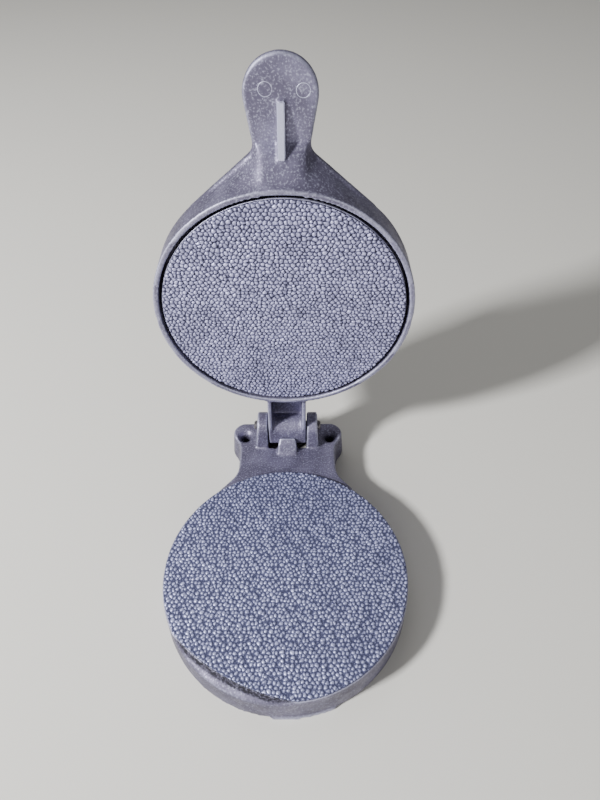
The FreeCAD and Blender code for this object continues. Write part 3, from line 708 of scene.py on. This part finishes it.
RING_STEPS = 40                 # round the ring
WIRE_STEPS = 8                  # round its wire
RING_WIRE = 0.2 * MM            # radius of the wire
RING_SINK = 0.6                 # how far the wire is sunk, as a share of its radius
RING_PLACES = {                 # to the right and towards the handle's tip
    "left": (-5.3 * MM, 85.4 * MM),
    "right": (7.9 * MM, 85.0 * MM),
}
RIB_PROFILE = (                 # towards the handle's tip, and behind the rim
    (81.7 * MM, 11.2 * MM),
    (62.6 * MM, 7.2 * MM),
    (62.2 * MM, 13 * MM),
    (81.7 * MM, 13 * MM),
)
RIB_BEVEL = 0.35 * MM
RIB_RUBBED = 0.25


def ring_mark(name, side, up, radius):
    """A thin raised ring whose wire is sunk for the most part in the handle's front."""
    ring = bmesh.new()
    rows = []
    for step in range(RING_STEPS):
        turn = 2 * math.pi * step / RING_STEPS
        row = []
        for part in range(WIRE_STEPS):
            tilt = 2 * math.pi * part / WIRE_STEPS
            reach = radius + RING_WIRE * math.cos(tilt)
            row.append(ring.verts.new(lid_point(
                side + reach * math.cos(turn), up + reach * math.sin(turn),
                HANDLE_FRONT + RING_WIRE * (RING_SINK + math.sin(tilt)))))
        rows.append(row)
    for first, second in zip(rows, rows[1:] + rows[:1]):
        for part in range(WIRE_STEPS):
            after = (part + 1) % WIRE_STEPS
            ring.faces.new((first[part], first[after], second[after], second[part]))
    bmesh.ops.recalc_face_normals(ring, faces=ring.faces)
    for face in ring.faces:
        face.smooth = True
    return piece_from(name, ring)


def handle_rib(name, half_width):
    """The handle's rib: a bar that stands further out towards the ring, with small ground bevels."""
    rib = bmesh.new()
    ends = []
    for side in (-half_width, half_width):
        ends.append([rib.verts.new(lid_point(side, up, depth)) for up, depth in RIB_PROFILE])
    rib.faces.new(ends[0])
    rib.faces.new(reversed(ends[1]))
    for first in range(len(RIB_PROFILE)):
        second = (first + 1) % len(RIB_PROFILE)
        rib.faces.new((ends[0][first], ends[0][second], ends[1][second], ends[1][first]))
    bmesh.ops.recalc_face_normals(rib, faces=rib.faces)
    bmesh.ops.bevel(rib, geom=list(rib.edges), offset=RIB_BEVEL, segments=2, affect="EDGES")
    return piece_from(name, rib)


# ---- Marked places of the castings. Each pair is where a fade starts and ends

GATE_ENDS = (-3 * MM, 19 * MM, 3 * MM)          # left and right ends of the broken gate, and their fade
GATE_FRONT = (40 * MM, 44 * MM)
GATE_HEIGHT = (1.4 * MM, 3.2 * MM)
GATE_RUBBED = 0.6
SCOOP_ENDS = (0.96, 1.04)                       # shares of the scoop's half angle
# Painted shade: the undercut zone darkens the scoop's steep inner wall under its edge, where shade falls
UNDERCUT = (-1.8 * MM, 1.5 * MM, 0.5 * MM)      # inside and outside the scoop's edge, and their fade
UNDERCUT_HEIGHT = (11 * MM, 12 * MM)
UNDERCUT_REACH = (54 * MM, 54.8 * MM)
WALL_REACH = (FACE_RADIUS - 1 * MM, FACE_RADIUS)
WALL_HEIGHT = (13 * MM, 17.5 * MM)
# How much darker the outer wall is made low down
WALL_DARKENING = 0.35
SCOOP_FLOOR = (0, 1 * MM)                       # outside the scoop's edge
SCOOP_HEIGHT = (10 * MM, 11 * MM)
# How much darker the scoop's floor is made
SCOOP_DARKENING = 0.22

COWL_REACH = (54 * MM, 55.4 * MM)               # from the ring's middle
COWL_ENDS = (20 * MM, 64 * MM, 3 * MM)          # towards the handle's tip, and their fade
COWL_DEPTH = (1.2 * MM, 11.5 * MM, 0.8 * MM)    # behind the rim, and their fade
RIB_CLEARANCE = (2 * MM, 3.5 * MM)
COWL_STEPS = 60
# Painted shade inside the hinge arm's channel, thinner on its lit right side
CHANNEL_SIDES = (-7.6 * MM, 7.6 * MM, 0.4 * MM)
CHANNEL_TOP = (-58 * MM, -56 * MM)
CHANNEL_BOTTOM = (-74 * MM, -68 * MM)
CHANNEL_DEPTH = (6 * MM, 9 * MM)
LIT_SIDE = (-6 * MM, 4 * MM)                  # across the channel, the lit side, where the painted shade thins out
SHADE_THINNING = 0.8
CHANNEL_SHADE = 0.7


def gate_weights(side, front, height):
    """Where the gate was broken off: low on the base's front."""
    across = between(side, *GATE_ENDS) * fade(front, *GATE_FRONT)
    return across * (1 - fade(height, *GATE_HEIGHT))


def base_darkening(side, front, height, gate):
    """Painted shade under the scoop's edge, where its steep wall is shaded, and lighter darkening in the
    scoop and low on the outer wall.
    """
    reach = np.hypot(side, front)
    turn = (np.degrees(np.arctan2(-front, side)) - SCOOP_BEARING) / SCOOP_HALF_ANGLE
    past_edge = reach - (FACE_RADIUS - SCOOP_BITE * (1 - turn ** 2))
    at_scoop = 1 - fade(np.abs(turn), *SCOOP_ENDS)
    undercut_shade = at_scoop * between(past_edge, *UNDERCUT)
    undercut_shade = undercut_shade * fade(height, *UNDERCUT_HEIGHT) * (1 - fade(reach, *UNDERCUT_REACH))
    wall = fade(reach, *WALL_REACH) * (1 - fade(height, *WALL_HEIGHT))
    in_scoop = at_scoop * fade(past_edge, *SCOOP_FLOOR) * fade(height, *SCOOP_HEIGHT)
    return np.maximum(undercut_shade, np.maximum(WALL_DARKENING * wall * (1 - gate), SCOOP_DARKENING * in_scoop))


def cowl_weights(side, up, depth):
    """The cowl between ring and handle, clear of the rib."""
    outside = fade(np.hypot(side, up), *COWL_REACH)
    cowl = outside * between(up, *COWL_ENDS) * between(depth, *COWL_DEPTH)
    return cowl * fade(np.abs(side), *RIB_CLEARANCE)


def channel_shade(side, up, depth):
    """Painted shade inside the hinge arm's channel, thinner towards its lit right side."""
    channel = between(side, *CHANNEL_SIDES) * (1 - fade(up, *CHANNEL_TOP))
    channel = channel * fade(depth, *CHANNEL_DEPTH) * (1 - fade(side, *LIT_SIDE) * SHADE_THINNING)
    return CHANNEL_SHADE * channel * fade(up, *CHANNEL_BOTTOM)


# ---- Stage

SENSOR_WIDTH = 36               # millimetres
CLIP_START = 10 * MM


def add_light(name, place, size, power):
    """A square soft light that faces the hinge, near the middle of the open press."""
    light = bpy.data.lights.new(name, "AREA")
    light.size = size
    light.energy = power
    lamp = bpy.data.objects.new(name, light)
    lamp.location = place
    lamp.rotation_euler = (HINGE_POINT - Vector(place)).to_track_quat("-Z", "Y").to_euler()
    bpy.context.scene.collection.objects.link(lamp)


# ---- Operators, one for each piece or group of like pieces

class PRESS_OT_base_casting(bpy.types.Operator):
    """Cast skin of the base: round base, neck, ears, lugs and stop"""

    bl_idname = "patty_press.base_casting"
    bl_label = "Base Casting"

    def execute(self, context):
        scene = context.scene
        base = cast_skin("base_casting_skin", "base_casting", scene.press_casting.base_cell)
        roughen(base, seed=3)
        middle, radius, _ = pressing_face("base_casting", UP, BASE_FACE_HEIGHT)
        points = points_of(base.data)
        points[:, 2] = np.maximum(points[:, 2], 0)      # nothing goes below the table
        set_points(base.data, points)
        side, front, height = points[:, 0], -points[:, 1], points[:, 2]
        gate = gate_weights(side, front, height)
        mark_points(base.data, "rubbed", GATE_RUBBED * gate)
        # Painted shade under the scoop's edge, with darkening in the scoop and low on the wall, stored in
        # the oxide weight
        mark_points(base.data, "oxide", base_darkening(side, front, height, gate))
        pebbles = scene.press_pebbles
        sink_face(base, middle, UP, pebbles.base_height + pebbles.bed / 2, radius + SINK_MARGIN)
        dress(base, oxidised_cast_aluminium("oxidised_cast_base"))
        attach(base, "base")
        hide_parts("base_casting")
        return {"FINISHED"}


class PRESS_OT_base_pebbles(bpy.types.Operator):
    """Pebbled pressing face of the base, with round dots set apart"""

    bl_idname = "patty_press.base_pebbles"
    bl_label = "Base Pebbles"

    def execute(self, context):
        pebbles = context.scene.press_pebbles
        middle, radius, surface = pressing_face("base_casting", UP, BASE_FACE_HEIGHT)
        bed = pebble_bed(
            "base_pebbled_face", middle, radius, surface, UP, BACK, round_pebble, pebbles.base_height,
            pebbles.seed)
        dress(bed, pebbled_cast_aluminium(
            "rubbed_base_pebbles", middle, UP, pebbles.base_height, pebbles.base_top_colour,
            pebbles.base_groove_colour))
        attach(bed, "base")
        return {"FINISHED"}


class PRESS_OT_lid_casting(bpy.types.Operator):
    """Cast skin of the lid: ring, roof, cowl, paddle handle and hinge arm"""

    bl_idname = "patty_press.lid_casting"
    bl_label = "Lid Casting"

    def execute(self, context):
        lid = cast_skin("lid_casting_skin", "lid_casting", context.scene.press_casting.lid_cell)
        soften_zone(lid, cowl_weights(*lid_places(points_of(lid.data))), COWL_STEPS)
        roughen(lid, seed=5)
        # Painted shade inside the hinge arm's channel, stored in the oxide weight
        mark_points(lid.data, "oxide", channel_shade(*lid_places(points_of(lid.data))))
        dress(lid, oxidised_cast_aluminium("oxidised_cast_lid"))
        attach(lid, "lid")
        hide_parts("lid_casting")
        return {"FINISHED"}


class PRESS_OT_handle_details(bpy.types.Operator):
    """Crisp ground edge of the handle's rib, and the two ring marks left by the mould"""

    bl_idname = "patty_press.handle_details"
    bl_label = "Handle Details"

    def execute(self, context):
        casting = context.scene.press_casting
        rib = handle_rib("handle_rib_skin", casting.rib_width / 2)
        mark_points(rib.data, "rubbed", np.full(len(rib.data.vertices), RIB_RUBBED))
        pieces = [rib]
        for name, (side, up) in RING_PLACES.items():
            pieces.append(ring_mark("mould_mark_" + name, side, up, casting.mark_radius))
        material = bpy.data.materials["oxidised_cast_lid"]
        for piece in pieces:
            dress(piece, material)
            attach(piece, "lid")
        return {"FINISHED"}


class PRESS_OT_ejector_plate(bpy.types.Operator):
    """Ejector plate and its close-set pebbles"""

    bl_idname = "patty_press.ejector_plate"
    bl_label = "Ejector Plate"

    def execute(self, context):
        scene = context.scene
        pebbles = scene.press_pebbles
        plate = cast_skin("ejector_plate_skin", "ejector_plate", scene.press_casting.base_cell)
        sink_face(
            plate, LID_MIDDLE, -INTO_LID, pebbles.lid_height + pebbles.bed / 2, PLATE_RADIUS + SINK_MARGIN)
        dress(plate, oxidised_cast_aluminium("oxidised_cast_plate"))
        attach(plate, "ejector")
        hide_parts("ejector_plate")
        bed = pebble_bed(
            "ejector_pebbled_face", LID_MIDDLE, PLATE_RADIUS, PLATE_SURFACE, -INTO_LID, LID_UP,
            packed_pebble, pebbles.lid_height, pebbles.seed + 1)
        dress(bed, pebbled_cast_aluminium(
            "rubbed_lid_pebbles", LID_MIDDLE, -INTO_LID, pebbles.lid_height, pebbles.lid_top_colour,
            pebbles.lid_groove_colour))
        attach(bed, "ejector")
        return {"FINISHED"}


class PRESS_OT_fittings(bpy.types.Operator):
    """Finishes of the pin, stem, nuts, washers and knob"""

    bl_idname = "patty_press.fittings"
    bl_label = "Fittings"

    def execute(self, context):
        zinc = steel(
            "aged_zinc_plated_steel", "#a5a6a4", "#7f807f", metallic=0.9, roughness=0.42,
            grain_size=2.5 * MM)
        drawn = steel(
            "drawn_steel_pin", "#8d8a8c", "#57545a", metallic=0.9, roughness=0.45, grain_size=2 * MM)
        finishes = {
            "hinge_pin": drawn,
            "ejector_stem": zinc,
            "stem_jam_nut": zinc,
            "stop_washer": zinc,
            "knob_jam_nut": zinc,
            "spring_seat_washer": zinc,
            "release_knob": turned_aluminium(),
        }
        for node, material in finishes.items():
            dress(frame["nodes"][node], material)
        return {"FINISHED"}


class PRESS_OT_spring(bpy.types.Operator):
    """Coil spring of the ejector: a copy of the frame's spring in drawn spring wire"""

    bl_idname = "patty_press.spring"
    bl_label = "Ejector Spring"

    def execute(self, context):
        mesh = frame["nodes"]["ejector_spring"].data.copy()
        coil = frame_piece("ejector_spring_coil", mesh)
        heights = points_of(mesh) @ np.array(INTO_LID)
        middle = Vector(points_of(mesh).mean(axis=0))
        dress(coil, steel(
            "drawn_spring_wire", "#77777b", "#4c4c50", metallic=0.95, roughness=0.35, grain_size=2 * MM))
        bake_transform(coil)
        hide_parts("ejector_spring")
        return {"FINISHED"}


class PRESS_OT_stage(bpy.types.Operator):
    """Pale floor, soft lights and the camera"""

    bl_idname = "patty_press.stage"
    bl_label = "Stage"

    def execute(self, context):
        scene = context.scene
        stage = scene.press_stage
        half = stage.floor_size / 2
        mesh = bpy.data.meshes.new("floor")
        corners = [(-half, -half, 0), (half, -half, 0), (half, half, 0), (-half, half, 0)]
        mesh.from_pydata(corners, [], [(0, 1, 2, 3)])
        floor = frame_piece("floor", mesh)
        dress(floor, matte_board())
        add_light("key", stage.key_place, stage.key_size, stage.key_power)
        add_light("fill", stage.fill_place, stage.fill_size, stage.fill_power)
        add_light("back", stage.back_place, stage.back_size, stage.back_power)
        world = bpy.data.worlds.new("studio")
        world.use_nodes = True
        background = world.node_tree.nodes["Background"]
        background.inputs["Color"].default_value = (1, 1, 1, 1)
        background.inputs["Strength"].default_value = stage.world_strength
        scene.world = world
        lens = bpy.data.cameras.new("camera")
        lens.lens = stage.lens
        lens.sensor_width = SENSOR_WIDTH
        lens.clip_start = CLIP_START
        camera = bpy.data.objects.new("camera", lens)
        camera.location = stage.camera_place
        camera.rotation_euler = (math.pi / 2 - stage.camera_tilt, 0, -stage.camera_turn)
        scene.collection.objects.link(camera)
        scene.camera = camera
        return {"FINISHED"}


class PRESS_PT_panel(bpy.types.Panel):
    """Lists the press's pieces and settings"""

    bl_idname = "PRESS_PT_panel"
    bl_label = "Patty Press"
    bl_space_type = "VIEW_3D"
    bl_region_type = "UI"
    bl_category = "Patty Press"

    def draw(self, context):
        for operator in OPERATORS:
            self.layout.operator(operator.bl_idname)
        for group in SETTINGS:
            settings = getattr(context.scene, group)
            box = self.layout.box()
            for name in settings.__annotations__:
                box.prop(settings, name)


SETTINGS = {
    "press_casting": CastingSettings,
    "press_pebbles": PebbleSettings,
    "press_stage": StageSettings,
}
OPERATORS = (
    PRESS_OT_base_casting,
    PRESS_OT_base_pebbles,
    PRESS_OT_lid_casting,
    PRESS_OT_handle_details,
    PRESS_OT_ejector_plate,
    PRESS_OT_fittings,
    PRESS_OT_spring,
    PRESS_OT_stage,
)


def register():
    """Adds the settings, the operators and the panel to Blender."""
    for kind in (*SETTINGS.values(), *OPERATORS, PRESS_PT_panel):
        bpy.utils.register_class(kind)
    for name, kind in SETTINGS.items():
        setattr(bpy.types.Scene, name, PointerProperty(type=kind))


def unregister():
    """Takes them out again."""
    for name in SETTINGS:
        delattr(bpy.types.Scene, name)
    for kind in (PRESS_PT_panel, *reversed(OPERATORS), *reversed(SETTINGS.values())):
        bpy.utils.unregister_class(kind)


def main():
    """Builds all pieces and the stage."""
    register()
    for operator in OPERATORS:
        group, name = operator.bl_idname.split(".")
        getattr(getattr(bpy.ops, group), name)()


if __name__ == "__main__":
    main()
